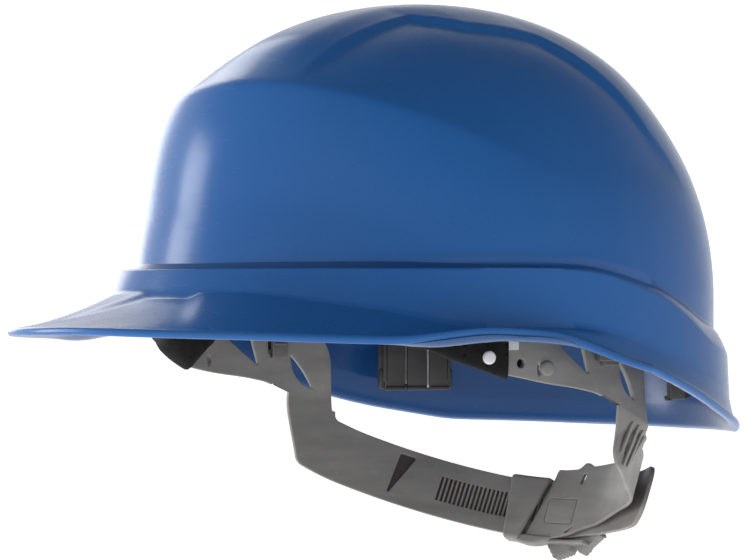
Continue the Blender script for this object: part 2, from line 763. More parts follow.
def key_axes(node):
    """Centre of a key, its outward and sideways directions, and its lowest and highest Z."""
    low, high = corners_mm(node)
    centre = (low + high) / 2
    outward = np.array((centre[0] / KEY_RING[0] ** 2, (centre[1] - DOME_Y) / KEY_RING[1] ** 2, 0))
    outward /= np.linalg.norm(outward)
    sideways = np.array((-outward[1], outward[0], 0))
    return centre, outward, sideways, low[2], high[2]


def box_between(low, high, bevel=0.4):
    """Bevelled box in millimetres as a bmesh."""
    work = bmesh.new()
    bmesh.ops.create_cube(work, size=1.0)
    size = np.array(high, float) - np.array(low, float)
    middle = (np.array(high, float) + np.array(low, float)) / 2
    for vertex in work.verts:
        vertex.co = Vector(np.array(vertex.co) * size + middle)
    bmesh.ops.bevel(work, geom=work.edges[:], offset=bevel, segments=3, profile=0.5, affect="EDGES")
    return work


def placed_boxes(name, boxes, axes, material, bevel=0.4):
    """Bevelled boxes, given as (low, high) in (outward, sideways, up), joined into one piece."""
    centre, outward, sideways = axes
    whole = bmesh.new()
    for low, high in boxes:
        work = box_between(low, high, bevel)
        for vertex in work.verts:
            out, side, up = vertex.co
            place = centre + outward * out + sideways * side
            vertex.co = Vector((place[0], place[1], up)) * MM
        mesh = bpy.data.meshes.new("box")
        work.to_mesh(mesh)
        work.free()
        whole.from_mesh(mesh)
        bpy.data.meshes.remove(mesh)
    bmesh.ops.recalc_face_normals(whole, faces=whole.faces)
    mesh = bpy.data.meshes.new(name)
    whole.to_mesh(mesh)
    whole.free()
    finish_mesh(mesh, 40)
    return new_object(name, mesh, material)


def inside_dome(points, depth):
    """Points drawn in towards the middle until they lie under the shell's skin."""
    level = np.clip((points[:, 2] - DOME_BASE_Z) / (DOME_HEIGHT - depth), 0, 0.999)
    allowed = (1 - level**DOME_POWER) ** (1 / DOME_POWER)
    reach = np.hypot(
        points[:, 0] / (DOME_HALF_WIDTH - depth), (points[:, 1] - DOME_Y) / (DOME_HALF_LENGTH - depth)
    )
    scale = np.minimum(1, allowed / reach)
    points[:, 0] *= scale
    points[:, 1] = DOME_Y + (points[:, 1] - DOME_Y) * scale
    return points


def make_pocket(node):
    """The blue pocket inside the shell that a key plugs into."""
    centre, outward, sideways, _, high_z = key_axes(node)
    mouth = high_z - POCKET_DEPTH + 1
    roof = high_z + 1
    top = roof + 2.5
    gap = KEY_THICKNESS / 2 + 0.4
    near, far = -gap - 2, gap + 8
    half = KEY_WIDTH / 2 + 0.3
    side = half + POCKET_WALL
    boxes = [
        ((near, -side, mouth), (-gap, side, top)),
        ((gap, -side, mouth), (far, side, top)),
        ((near, -side, mouth), (far, -half, top)),
        ((near, half, mouth), (far, side, top)),
        ((near, -side, roof), (far, side, top)),
    ]
    name = node.replace("key", "pocket")
    pocket = placed_boxes(name, boxes, (centre, outward, sideways), SHELL_BLUE, 0.3)
    depth = POCKET_COVER + (FRONT_LEAN if "front" in node else 0)
    points = inside_dome(np.array([v.co for v in pocket.data.vertices], float) / MM, depth)
    pocket.data.vertices.foreach_set("co", (points * MM).ravel())
    pocket.data.update()
    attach(pocket, "shell")


def make_key(node):
    """Key: blade, foot with its webbing window, and three lipped tongues on the head's side."""
    centre, outward, sideways, low_z, high_z = key_axes(node)
    half = KEY_WIDTH / 2
    blade = KEY_THICKNESS / 2
    foot_top = high_z - POCKET_DEPTH
    shoulder = low_z + 6.8
    opening = 10.5
    outer = 2.0
    front = "front" in node
    inner = -3.6 if front else -1.5
    boxes = [
        ((-blade, -half, foot_top - 2), (blade, half, high_z)),
        ((inner, -half - 2, shoulder), (outer, half + 2, foot_top)),
        ((-3.6, -half - 2, low_z), (outer, -opening, shoulder + 1)),
        ((-3.6, opening, low_z), (outer, half + 2, shoulder + 1)),
        ((inner, -half, low_z), (outer, half, low_z + 1.8)),
    ]
    tongue_in = -4.8 if front else inner - 3.6
    tongue_out = tongue_in + 1.7
    tongue_low = shoulder + 0.5 if front else low_z - 0.6
    for middle in (-TONGUE_PITCH, 0.0, TONGUE_PITCH):
        left, right = middle - TONGUE_HALF_WIDTH, middle + TONGUE_HALF_WIDTH
        boxes.append(((tongue_in, left, tongue_low), (tongue_out, right, foot_top)))
        boxes.append(((tongue_in - 0.9, left, tongue_low), (tongue_out, right, tongue_low + 1.6)))
    if not front:
        for side in (-half - 1.0, half - 1.0):
            boxes.append(((tongue_in, side, low_z + 3), (inner + 0.4, side + 2.0, foot_top)))
    piece = placed_boxes(node + "_moulding", boxes, (centre, outward, sideways), KEY_DARK)
    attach(piece, "harness")
    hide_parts(node)


for key_name in KEY_NAMES:
    make_pocket(key_name)
    make_key(key_name)

# ---------------------------------------------------------------- headband plan and bends
NOSE_STEPS = 400


def band_plan():
    """Plan of the headband's left half as (run, x, y): run is 0 beside the ear and falls to the front."""
    turn = np.linspace(0, math.pi / 2, NOSE_STEPS)
    nose = np.stack([BAND_RADIUS * np.cos(turn), BAND_NOSE_Y - BAND_NOSE_LENGTH * np.sin(turn)], 1)
    side = np.stack([np.full(20, BAND_RADIUS), np.linspace(DOME_Y, BAND_NOSE_Y, 20)], 1)[:-1]
    past = np.stack(
        [-BAND_RADIUS * np.cos(turn), BAND_NOSE_Y - BAND_NOSE_LENGTH * np.sin(turn)], 1
    )[::-1][1:]
    rear_turn = np.linspace(math.pi * 0.9, 0, NOSE_STEPS)[:-1]
    rear = np.stack([BAND_RADIUS * np.cos(rear_turn), DOME_Y + BAND_RADIUS * np.sin(rear_turn)], 1)
    line = np.vstack([rear, side, nose, past])
    run = np.concatenate([[0], np.cumsum(np.linalg.norm(np.diff(line, axis=0), axis=1))])
    run = run[len(rear)] - run
    return run[::-1], line[::-1, 0], line[::-1, 1]


PLAN_RUN, PLAN_X, PLAN_Y = band_plan()
FRONT_RUN = float(np.interp(0, PLAN_X[PLAN_RUN < -100], PLAN_RUN[PLAN_RUN < -100]))


def band_place(run, up, out):
    """Upright bend: the headband's own wall."""
    x = np.interp(run, PLAN_RUN, PLAN_X)
    y = np.interp(run, PLAN_RUN, PLAN_Y)
    step = 0.5
    ahead_x = np.interp(run + step, PLAN_RUN, PLAN_X) - np.interp(run - step, PLAN_RUN, PLAN_X)
    ahead_y = np.interp(run + step, PLAN_RUN, PLAN_Y) - np.interp(run - step, PLAN_RUN, PLAN_Y)
    length = np.hypot(ahead_x, ahead_y) + 1e-9
    return np.stack([x + out * ahead_y / length, y - out * ahead_x / length, up], -1)


def nape_place(run, up, out):
    """Tilted bend: the nape arms' wall, run measured from the ear round the nape."""
    turn = run / BAND_RADIUS
    radius = BAND_RADIUS + out
    return (
        NAPE_CENTRE
        + NAPE_X * (radius * np.cos(turn))[:, None]
        + NAPE_Y * (radius * np.sin(turn))[:, None]
        + NAPE_AXIS * up[:, None]
    )


def to_band(run, up):
    """Nape development to headband development, both flat beside the ear."""
    rise = NAPE_CENTRE[2]
    return (
        run * math.cos(TILT) + up * math.sin(TILT),
        -run * math.sin(TILT) + up * math.cos(TILT) + rise,
    )


def to_nape(run, up):
    """Headband development to nape development."""
    rise = up - NAPE_CENTRE[2]
    return run * math.cos(TILT) - rise * math.sin(TILT), run * math.sin(TILT) + rise * math.cos(TILT)


def neck_bend(run, up, out):
    """From the upright wall above the neck to the tilted wall below it, in nape development."""
    band_run, band_up = to_band(run, up)
    share = 1 - smoothstep(-24, -6, band_up)
    upright = band_place(band_run, band_up, out)
    tilted = nape_place(run, up, out)
    return upright * (1 - share)[:, None] + tilted * share[:, None]


def strap_bend(run, up, out):
    """As neck_bend; past the buckle the free tail rises a little."""
    rise = TAIL_RISE * smoothstep(BUCKLE_TURN - 0.1, BUCKLE_TURN + 0.6, run / BAND_RADIUS)
    return neck_bend(run, up + rise, out)


def arm_bend(run, up, out):
    """As neck_bend, with the buckle arm turning in sharply behind the neck, inside the strap."""
    turn = run / BAND_RADIUS
    inset = ARM_INSET + ARM_TURN_IN * smoothstep(0.14, 0.5, turn) * (1 - smoothstep(0.95, 1.4, turn))
    share = np.maximum(1 - smoothstep(5, NECK_CUT, up), smoothstep(NECK_REAR_RUN, 40, run))
    return neck_bend(run, up, out - inset * share)


# ---------------------------------------------------------------- headband
NECK_CUT = 15.0


def leaf(start, end, bow):
    """Leaf-shaped hole between two points."""
    start, end = np.array(start, float), np.array(end, float)
    middle = (start + end) / 2
    across = np.array((end[1] - start[1], start[0] - end[0]))
    across /= np.linalg.norm(across)
    shares = np.linspace(0, 1, 10)
    first = [
        (1 - s) ** 2 * start + 2 * s * (1 - s) * (middle + across * 2 * bow) + s**2 * end
        for s in shares
    ]
    second = [
        (1 - s) ** 2 * end + 2 * s * (1 - s) * (middle - across * 0.6 * bow) + s**2 * start
        for s in shares[1:-1]
    ]
    return first + second


def circle(x, y, radius, steps=24):
    return [
        (x + radius * math.cos(2 * math.pi * i / steps), y + radius * math.sin(2 * math.pi * i / steps))
        for i in range(steps)
    ]


def run_at(y):
    """Run along the headband at a place y beside the ear or along the nose."""
    beside = (PLAN_RUN > FRONT_RUN) & (PLAN_RUN < 100)
    order = np.argsort(PLAN_Y[beside])
    return float(np.interp(y, PLAN_Y[beside][order], PLAN_RUN[beside][order]))


# Left half of the headband beside the ear, as (Y, height, corner radius), and its ends at the front
EAR_OUTLINE = ((-85, 13.5, 10), (-74, 12.5, 10), (-60, 7.6, 5), (-48, 2.8, 3), (-42.2, 0.2, 2),
               (-24, -3.2, 8), (-9, -5, 6), (2, -7, 5), (8.5, -9.6, 4), (12.5, -12, 3), (15.5, -45, 0),
               (35, -45, 0), (33.5, -20, 8), (33, 4, 8), (27, 14, 6), (15, 21, 2), (13.4, 21, 0.8),
               (12.2, 3.4, 2), (7.7, 2, 2), (3.2, 3.4, 2), (2, 21, 0.8), (-1, 21, 2), (-40, 21.5, 12),
               (-72, 31, 18), (-85, 33, 12))
FRONT_LOW, FRONT_HIGH = 12, 33
FRONT_OVERLAP = 6


def ear_outline():
    """Left half of the headband laid flat, from past the front centre to below the neck."""
    past_front = FRONT_RUN - FRONT_OVERLAP
    beside = [(run_at(y), up, radius) for y, up, radius in EAR_OUTLINE]
    return rounded([(past_front, FRONT_LOW, 0), *beside, (past_front, FRONT_HIGH, 0)])


def ear_holes():
    """Window, leaf slot and locating hole beside the ear."""
    window = rounded(
        [(run_at(-22), 12.5, 1), (run_at(-6.5), 12.5, 1), (run_at(-2.2), 0, 0.8), (run_at(-3.4), 0, 0.8)], 4
    )
    slot = leaf((run_at(14.5), 3.5), (run_at(25.0), -10.5), 3.2)
    hole = circle(run_at(-36.2), 3.9, 1.5)
    relief = leaf((run_at(-28.4), 4.4), (run_at(-28.4), -0.6), -1.7)
    return [window, slot, hole, relief]


def neck_cut_plane():
    """Line across the neck, in headband development, as a cutting plane that keeps the band."""
    run, up = to_band(12.0, NECK_CUT)
    return ((run, up, 0), (-math.sin(TILT), -math.cos(TILT), 0), 0.0, 1000.0)


def make_headband():
    """The headband moulding, round the front from neck to neck."""

    def bend(run, up, out):
        nape_run, nape_up = to_nape(run, up)
        lower = neck_bend(nape_run, nape_up, out)
        return np.where((up < -5)[:, None], lower, band_place(run, up, out))

    cuts = [((FRONT_RUN, 0, 0), (-1, 0, 0), -1000.0, 0.0), neck_cut_plane()]
    halves = []
    for name, shape in (("left", bend), ("right", mirrored(bend))):
        halves.append(
            bent_plate("half_" + name, ear_outline(), ear_holes(), shape, HARNESS_GREY, cuts=cuts)
        )
    piece = joined("headband_moulding", halves)
    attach(piece, "harness")
    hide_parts("headband")
    return piece


headband = make_headband()


# ---------------------------------------------------------------- nape strap and buckle
def degrees_run(angle):
    return math.radians(angle) * BAND_RADIUS


def at_degrees(corners, steps=6):
    """Rounded outline from (degrees round the nape, height, corner radius)."""
    return rounded([(degrees_run(turn), up, radius) for turn, up, radius in corners], steps)


def outside(level):
    """Nape bend for a plate that lies level mm outside the strap's middle."""

    def bend(run, up, out):
        return nape_place(run, up, out + level)

    return bend


TAIL_RUN = degrees_run(180 - 46)
BUCKLE_END_RUN = degrees_run(107.5)


def arm_outline(end_corners, neck_front, neck_rear):
    """Neck and arm laid flat: neck_front and neck_rear are its edges at the cut."""
    return [
        (neck_front, NECK_CUT + 6, 0),
        (neck_front + 3.0, NECK_CUT - 6, 10),
        (13.2, -5, 6),
        (16.5, -STRAP_HALF_HEIGHT + 1.2, 7),
        (30, -STRAP_HALF_HEIGHT, 6),
        *end_corners,
        (neck_rear + 14, STRAP_HALF_HEIGHT, 4),
        (neck_rear + 2.5, STRAP_HALF_HEIGHT + 0.6, 2.2),
        (neck_rear, NECK_CUT + 6, 0),
    ]


def band_edge_at_cut(y_top, up_top, y_low, up_low):
    """Where a nearly upright edge of the band crosses the neck's cut, as a nape run."""
    high = np.array(to_nape(run_at(y_top), up_top))
    low = np.array(to_nape(run_at(y_low), up_low))
    share = (NECK_CUT - high[1]) / (low[1] - high[1])
    return float(high[0] + (low[0] - high[0]) * share)


NECK_FRONT_RUN = band_edge_at_cut(12.5, -12, 15.5, -45)
NECK_REAR_RUN = band_edge_at_cut(33.5, -20, 35, -45)
SLOT_COUNT = 34
SLOT_PITCH_RUN = degrees_run(1.25)
SLOT_FIRST_RUN = degrees_run(180 - 130.1)
SLOT_WIDTH_RUN = 0.95
GROOVE_FLOOR_LEVEL = 0.45
LATCH_TURNS = (84.0, 94.0)
LATCH_HALF_HEIGHT = 5.0
BLEND_HIGH = 14.0
BLEND_LOW = 6.0

# Cut across the top of a neck, as (place, normal, from run, to run)
ARM_CUTS = (((0, NECK_CUT, 0), (0, 1, 0), -1000.0, 36.0),)


def groove_bend(run, up, out):
    return strap_bend(run, up, out + GROOVE_FLOOR_LEVEL)


def make_strap():
    """Slotted strap from the right neck round the nape, with a dark floor behind its slots."""
    end = [
        (TAIL_RUN - 8, -STRAP_HALF_HEIGHT, 5),
        (TAIL_RUN, -STRAP_HALF_HEIGHT + 5, 5),
        (TAIL_RUN, STRAP_HALF_HEIGHT - 5, 4),
        (TAIL_RUN - 5, STRAP_HALF_HEIGHT, 4),
    ]
    outline = rounded(arm_outline(end, NECK_FRONT_RUN, NECK_REAR_RUN))
    window = rounded([(57.4, 9.0, 1.0), (64.2, 9.0, 1.2), (57.2, -7.6, 0.8), (56.4, -7.6, 0.5)], 4)
    holes = [window]
    for step in range(SLOT_COUNT):
        run = SLOT_FIRST_RUN + 3.0 + step * SLOT_PITCH_RUN
        end_run = run + SLOT_WIDTH_RUN
        holes.append([(run, -5), (end_run, -5), (end_run, 5), (run, 5)])
    bend = mirrored(strap_bend)
    piece = bent_plate("strap_moulding", outline, holes, bend, HARNESS_GREY, 0.28, cuts=ARM_CUTS)
    floor_line = rounded(
        [
            (54.5, -8.8, 1),
            (60, -8.8, 1),
            (64, -6.4, 3),
            (TAIL_RUN - 12, -6.4, 2),
            (TAIL_RUN - 12, 6.4, 2),
            (67, 6.4, 3),
            (66, 10, 1),
            (54.5, 10, 1),
        ]
    )
    bend = mirrored(groove_bend)
    backing = bent_plate("strap_groove_floor", floor_line, [], bend, KEY_DARK, 0.1, thickness=0.4)
    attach(backing, "strap_arm")
    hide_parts("nape_strap")
    middle = (NECK_FRONT_RUN + NECK_REAR_RUN) / 2
    ends = np.array((BLEND_HIGH, BLEND_LOW))
    start, finish = mirrored(neck_bend)(np.full(2, middle), ends, np.zeros(2))
    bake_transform(piece)
    return piece


# Outline of the buckle arm past the neck, as (degrees round the nape, height, corner radius)
ARM_LOWER = ((20, -6, 6), (30, -5.5, 8), (45, -4, 10), (58, -3.4, 10), (66, -4, 6), (74, -6, 5),
             (79, -7, 4), (85, -10, 4), (92, -11.6, 3), (95.5, -13.4, 2), (99.3, -12.2, 1))
ARM_UPPER = ((94.2, 12.6, 0.8), (93.6, 17.2, 1.5), (91.4, 17.0, 1.5), (86.2, 17.6, 2), (84.4, 20.2, 1),
             (82.8, 20.2, 1), (81.1, 18.7, 1.5), (73.6, 19.2, 6), (64, 18, 8), (54, 15.5, 8),
             (44, 13, 8), (33, 12, 4))
NECK_RIDGES = ((12.5, 12.0, 0.0), (17.0, 12.5, -3.0), (21.5, 12.0, -2.0), (25.5, 11.0, 2.0))


def ridge_bend(run, up, out):
    return arm_bend(run, up, out + 1.0)


def make_arm():
    """Buckle arm from the ribbed left neck, with its plate and the latch's window."""
    outline = rounded(
        [
            (NECK_FRONT_RUN, NECK_CUT + 6, 0),
            (NECK_FRONT_RUN + 3.8, 11.7, 4),
            (8.8, 6.5, 5),
            (10.2, -1, 4),
            (14.5, -4.6, 5),
            *[(degrees_run(turn), up, radius) for turn, up, radius in (*ARM_LOWER, *ARM_UPPER)],
            (NECK_REAR_RUN + 1.5, 12.0, 1.5),
            (NECK_REAR_RUN, NECK_CUT + 6, 0),
        ]
    )
    gap = 0.06
    low, high = degrees_run(LATCH_TURNS[0]) - gap, degrees_run(LATCH_TURNS[1]) + gap
    half = LATCH_HALF_HEIGHT + gap
    window = rounded([(low, -half, 0.6), (high, -half, 1.3), (high, half, 1.3), (low, half, 0.6)], 4)
    upper = at_degrees(((83.2, 11.6, 0.5), (84.6, 11.6, 0.5), (84.0, 15.8, 0.8), (82.8, 15.8, 0.5)), 3)
    lower = at_degrees(((85.0, -8.6, 0.3), (86.0, -8.6, 0.4), (83.0, -6, 0.3)), 3)
    holes = [window, upper, lower]
    plate = bent_plate("buckle_plate", outline, holes, arm_bend, HARNESS_GREY, cuts=ARM_CUTS)
    ridges = []
    for run, top, bottom in NECK_RIDGES:
        corners = ((run, bottom), (run + 2.0, bottom), (run + 1.4, top), (run, top))
        line = rounded([(*corner, 0.6) for corner in corners])
        ridges.append(bent_plate("neck_ridge", line, [], ridge_bend, HARNESS_GREY, 0.25, thickness=1.0))
    piece = joined("buckle_moulding", [plate, *ridges])
    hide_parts("buckle_arm")
    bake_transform(piece)
    return piece


strap = make_strap()
arm = make_arm()


def make_tube(name, start, end, start_slant, end_slant, material):
    """Closed loop round strap and arm; its ends slant by so many mm of run for each mm upwards."""
    low, high = -STRAP_HALF_HEIGHT, STRAP_HALF_HEIGHT
    loops = []
    for inner, outer, grow, radius in ((-ARM_INSET - 2.5, 2.6, 1.7, 1.8), (-ARM_INSET - 1.2, 1.3, 0.4, 0.5)):
        loops.append(
            rounded(
                [
                    (inner, low - grow, radius),
                    (outer, low - grow, radius),
                    (outer, high + grow, radius),
                    (inner, high + grow, radius),
                ]
            )
        )
    stations = np.concatenate([[0.0, 0.02, 0.06], np.linspace(0.15, 0.85, 8), [0.94, 0.98, 1.0]])
    shrink = np.concatenate([[0.06, 0.02, 0.0], np.zeros(8), [0.0, 0.02, 0.06]])
    sections = []
    for loop, order, tucks in ((loops[0], stations, shrink), (loops[1], stations[::-1], 0 * shrink)):
        flat = np.array(loop)
        for share, tuck in zip(order, tucks):
            points = flat.mean(0) + (flat - flat.mean(0)) * (1 - tuck)
            first = start + start_slant * points[:, 1]
            last = end + end_slant * points[:, 1]
            run = first + (last - first) * share
            sections.append(nape_place(run, points[:, 1], points[:, 0]))
    points = np.array(sections).reshape(-1, 3)
    faces = grid_faces(len(sections), len(loops[0]), wrap_rows=True)
    mesh = mesh_from(name, points, faces)
    finish_mesh(mesh, 35)
    return new_object(name, mesh, material)


sleeve = make_tube("sleeve_moulding", degrees_run(97.8), BUCKLE_END_RUN - 1.5, -0.325, 0.12, HARNESS_GREY)
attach(sleeve, "buckle")
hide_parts("buckle_sleeve")

# Finger pads past the buckle's edges, as (degrees, height) corners
PADS = {
    "grip_lower_rear": ((94.0, -11.5), (90.0, -17.4), (84.8, -14.8), (84.4, -10)),
    "grip_lower_front": ((86.2, -10.5), (80.5, -15.4), (74.5, -8.4), (76, -6)),
    "grip_upper_rear": ((94.4, 11.5), (93.2, 16.6), (91.0, 16.6), (89, 11.5)),
    "grip_upper_front": ((87.2, 11.5), (84.6, 19.6), (82.8, 19.6), (78, 12)),
}
PAD_RIB = 1.15
PAD_GROOVE = 0.4

# How far a rib runs below its pad's foot and past its edge, as shares of the pad's height
PAD_RIB_BELOW = 0.2
PAD_RIB_PAST = 0.07


def make_pad(name, corners):
    """Ribbed finger pad on the strap's outer side, made of slanted ribs on a web."""
    line = [(degrees_run(turn), up) for turn, up in corners]
    base = (line[0][1] + line[3][1]) / 2
    edge = sorted(line)
    web = rounded([(*point, 0.5) for point in line], 4)
    ribs = [bent_plate("pad_web", web, [], outside(2.6), HARNESS_GREY, 0.4, thickness=3.2)]
    run = edge[0][0] + 0.4
    while run < edge[-1][0] - PAD_RIB:
        tips = np.interp((run, run + PAD_RIB), [x for x, _ in edge], [y for _, y in edge])
        foot = base - PAD_RIB_BELOW * (tips[0] - base)
        ends = [tip + PAD_RIB_PAST * (tip - base) for tip in tips]
        corners = [(run, foot, 0.2), (run + PAD_RIB, foot, 0.2)]
        corners += [(run + PAD_RIB, ends[1], 0.3), (run, ends[0], 0.3)]
        rib = rounded(corners, 3)
        ribs.append(bent_plate("pad_rib", rib, [], outside(3.1), HARNESS_GREY, 0.3, thickness=4.0))
        run += PAD_RIB + PAD_GROOVE
    piece = joined(name, ribs)
    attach(piece, "buckle")


for pad_name, pad_corners in PADS.items():
    make_pad(pad_name, pad_corners)


def make_bumper():
    """Lower lip that joins sleeve and plate and holds strap and arm together."""
    lip = at_degrees(((104.5, -10.5, 1), (103, -13.2, 3), (97, -14.6, 4), (91, -12.5, 3), (90, -10.5, 1)))
    piece = bent_plate("lower_lip", lip, [], outside(-1.2), HARNESS_GREY, 0.8, thickness=5.0)
    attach(piece, "buckle")


make_bumper()


def make_outer_plate():
    """Buckle's outer plate outside the strap, with an edge strip above and below it."""
    line = at_degrees(((76, -11.5, 2), (97, -12.8, 2), (97, 12.8, 2), (76, 12.8, 2)))
    parts = [bent_plate("outer_plate", line, [], outside(2.0), HARNESS_GREY, thickness=1.4)]
    for height in (-12.0, 12.0):
        low, high = height - 0.7, height + 0.7
        strip = at_degrees(((78, low, 0.3), (96, low, 0.3), (96, high, 0.3), (78, high, 0.3)))
        parts.append(bent_plate("outer_edge", strip, [], outside(0.1), HARNESS_GREY, 0.3, thickness=4.6))
    piece = joined("outer_plate", parts)
    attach(piece, "buckle")
    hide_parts("buckle_grip")


make_outer_plate()


def make_latch():
    """Latch tongue in the arm's window."""
    start, end = (degrees_run(turn) for turn in LATCH_TURNS)
    half = LATCH_HALF_HEIGHT
    line = rounded([(start, -half, 0.5), (end, -half, 1.2), (end, half, 1.2), (start, half, 0.5)], 4)
    piece = bent_plate("latch_moulding", line, [], outside(-ARM_INSET), HARNESS_GREY)
    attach(piece, "latch")
    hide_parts("buckle_latch")


make_latch()

# ---------------------------------------------------------------- sweatband
SWEAT_END_Y = -41.5
SWEAT_TAIL_Y = -26.0
TAB_WIDTH = 8.5
TAB_THICKNESS = 0.5


def make_sweatband():
    """Padded leather cover folded round the headband's front, with its seam of stitches."""
    end_run = run_at(SWEAT_TAIL_Y)
    fold_run = run_at(SWEAT_END_Y)
    runs = np.concatenate(
        [np.linspace(FRONT_RUN, fold_run, 90), np.linspace(fold_run + 0.4, end_run, 14)]
    )
    ys = np.interp(runs, PLAN_RUN, PLAN_Y)
    low = np.interp(ys, (-95, -75, -65, -59, -41.5, -26), (12.0, 10.5, 8.5, 5.2, -1.4, 8.5))
    top = np.interp(ys, (-95, -78, -45), (34.0, 33.5, 23.0))
    wrap = runs <= fold_run
    puff = 1.0 - 0.35 * np.exp(-((end_run - runs) / 5.0))
    sections = []
    for run, bottom, high, full, wrapped in zip(runs, low, top, puff, wrap):
        middle = (bottom + high) / 2
        outer_side = [(1.5, high - 1.0), (1.75, high - 6), (1.8, middle), (1.75, bottom + 5)]
        fold = [(1.3, bottom + 1.2), (0.2, bottom + 0.1), (-1.4 * full, bottom)]
        inner_low = [(-3.4 * full, bottom + 1.2), (-4.6 * full, bottom + 4), (-5.0 * full, middle)]
        inner_high = [(-4.7 * full, high - 6), (-3.6 * full, high - 2), (-1.6, high - 0.4), (0.2, high)]
        profile = outer_side + fold + inner_low + inner_high
        out, up = np.array(profile).T
        if not wrapped:
            out = np.minimum(out, -1.1)
        sections.append(band_place(np.full(len(out), run), up, out))
    half = np.array(sections)
    whole = np.concatenate([half[::-1] * np.array((-1, 1, 1)), half[1:]], 0)
    rows, columns = whole.shape[:2]
    faces = grid_faces(rows, columns)
    faces.append(tuple(range(columns)))
    faces.append(tuple((rows - 1) * columns + column for column in range(columns)))
    mesh = mesh_from("sweatband", whole.reshape(-1, 3), faces)
    finish_mesh(mesh, 70)
    piece = new_object("sweatband", mesh, SWEATBAND_BLACK)
    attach(piece, "harness")
    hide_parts("sweatband_cover", "sweatband_pad")
    seam_runs = np.arange(FRONT_RUN + 2, fold_run - 3, 4.0)
    seam_up = np.interp(np.interp(seam_runs, PLAN_RUN, PLAN_Y), (-95, -78, -45), (30.5, 30.0, 20.0))
    seam = band_place(seam_runs, seam_up, np.full(len(seam_runs), -4.45))
    seam_other = seam * np.array((-1, 1, 1))
    both = np.vstack([seam, seam_other])
    along = np.vstack([np.gradient(seam, axis=0), np.gradient(seam_other, axis=0)])
    thread_row = stitches("sweatband_stitching", both, along, THREAD_WHITE)
    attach(thread_row, "harness")


make_sweatband()


def make_size_tab(side_sign):
    """Folded white tape stitched over the sweatband's upper edge at its end."""
    run = run_at(SWEAT_END_Y)
    outs = (1.2, 1.25, 1.2, 0.6, -0.6, -1.3, -1.35)
    ups = (8.4, 14.0, 20.0, 24.6, 24.6, 22.0, 18.0)
    path = band_place(np.full(len(outs), run), np.array(ups), np.array(outs))
    side = band_place(np.array([run - 1, run + 1]), np.zeros(2), np.zeros(2))
    mirror = np.array((side_sign, 1, 1))
    across = (side[1] - side[0]) * mirror
    tab = ribbon("size_tab", smooth_path(path * mirror), across, TAB_WIDTH, TAB_THICKNESS, WEBBING_WHITE)
    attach(tab, "harness")


make_size_tab(1)
make_size_tab(-1)

# ---------------------------------------------------------------- studs and clips
STUD_PROFILE = ((0.0, 1.0), (0.6, 0.98), (0.85, 0.85), (0.97, 0.5), (1.0, 0.1), (0.98, -0.2), (0.6, -0.4),
                (0.6, -1.8), (0.0, -1.8))


def make_studs(name, y, up, level, radius, stretch, material):
    """Pair of flat-headed studs pressed through the band, one a side."""
    made = []
    faces = []
    around = 28
    run = run_at(y)
    centre, outer = band_place(np.array([run, run]), np.array([up, up]), np.array([level, level + 1]))
    normal = outer - centre
    across = np.cross(normal, (0, 0, 1.0))
    across /= np.linalg.norm(across)
    upward = np.cross(across, normal)
    for side_sign in (1, -1):
        base = len(made)
        for share, height in STUD_PROFILE:
            for step in range(around):
                turn = 2 * math.pi * step / around
                reach = radius * max(share, 0.02)
                point = centre + normal * height
                point = point + reach * (stretch * math.cos(turn) * across + math.sin(turn) * upward)
                made.append(point * np.array((side_sign, 1, 1)))
        faces += [tuple(base + i for i in face) for face in grid_faces(len(STUD_PROFILE), around)]
        faces.append(tuple(base + step for step in range(around)))
        final = base + (len(STUD_PROFILE) - 1) * around
        faces.append(tuple(final + step for step in range(around))[::-1])
    mesh = mesh_from(name, made, faces)
    finish_mesh(mesh, 40)
    piece = new_object(name, mesh, material)
    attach(piece, "harness")
    return piece


front_studs = make_studs("sweatband_studs", -48.3, 6.0, 1.85, 2.3, 1.0, STUD_WHITE)
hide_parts("headband_studs")
rear_studs = make_studs("band_studs", -24.6, 2.0, 0.85, 2.6, 1.35, HARNESS_GREY)


def make_clip(node, side_sign):
    """Side clip: plate outside the band, bridge through the notch, ribbed tongue inside."""
    low, high = corners_mm(node)
    centre = np.array((BAND_RADIUS * side_sign, (low[1] + high[1]) / 2, 0))
    outward = np.array((side_sign, 0, 0))
    sideways = np.array((0, 1, 0))
    boxes = [
        ((1.0, -7, low[2] + 2), (3.4, 7, high[2])),
        ((-2.5, -4, low[2] + 0.25), (2.5, 4, low[2] + 3.75)),
        ((-2.8, -4, low[2] + 0.5), (-1.2, 4, low[2] + 9.5)),
        ((-3.3, -3.2, low[2] + 7.6), (-2.4, 3.2, low[2] + 8.8)),
        ((-3.3, -3.2, low[2] + 5.2), (-2.4, 3.2, low[2] + 6.4)),
    ]
    piece = placed_boxes(node + "_moulding", boxes, (centre, outward, sideways), CLIP_GREY, 0.35)
    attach(piece, "harness")
    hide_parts(node)


make_clip("side_clip_left", 1)
make_clip("side_clip_right", -1)

# ---------------------------------------------------------------- webbing cradle
WEB_WIDTH = 19.0
WEB_THICKNESS = 1.2
WEB_CROSS_Y = 2.0
WEB_CROWN_Z = 96.0
WEB_STEP = 2.3


